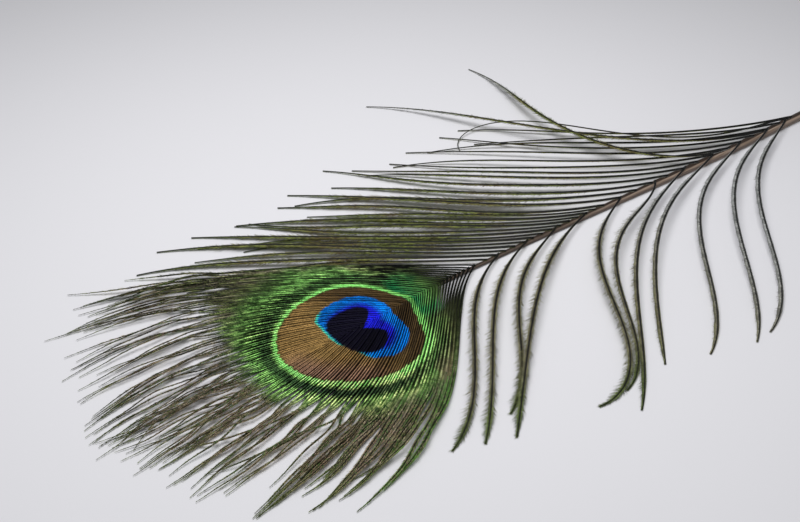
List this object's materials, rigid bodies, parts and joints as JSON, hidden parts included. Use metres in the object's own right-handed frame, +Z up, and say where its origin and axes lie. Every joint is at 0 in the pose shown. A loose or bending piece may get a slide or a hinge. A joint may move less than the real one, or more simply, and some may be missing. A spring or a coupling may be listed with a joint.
{
  "type": "peacock feather",
  "caption": "Peacock eye feather lying flat: tapered shaft, close web round a ringed eye, and long loose barbs in curved locks that taper to their tips.",
  "frame": {"origin": "on the flat underside of the web, below the middle of the eye, in the plane that the feather rests on", "axes": "+X along the shaft from the eye to the cut end of the quill, +Z up out of the side that shows the colours, +Y to the far side"},
  "size_m": [0.3004, 0.1643, 0.0059],
  "materials": {
    "feather": "iridescent barbs, satin"
  },
  "bodies": {
    "root": {"feather": "feather"}
  },
  "joints": []
}
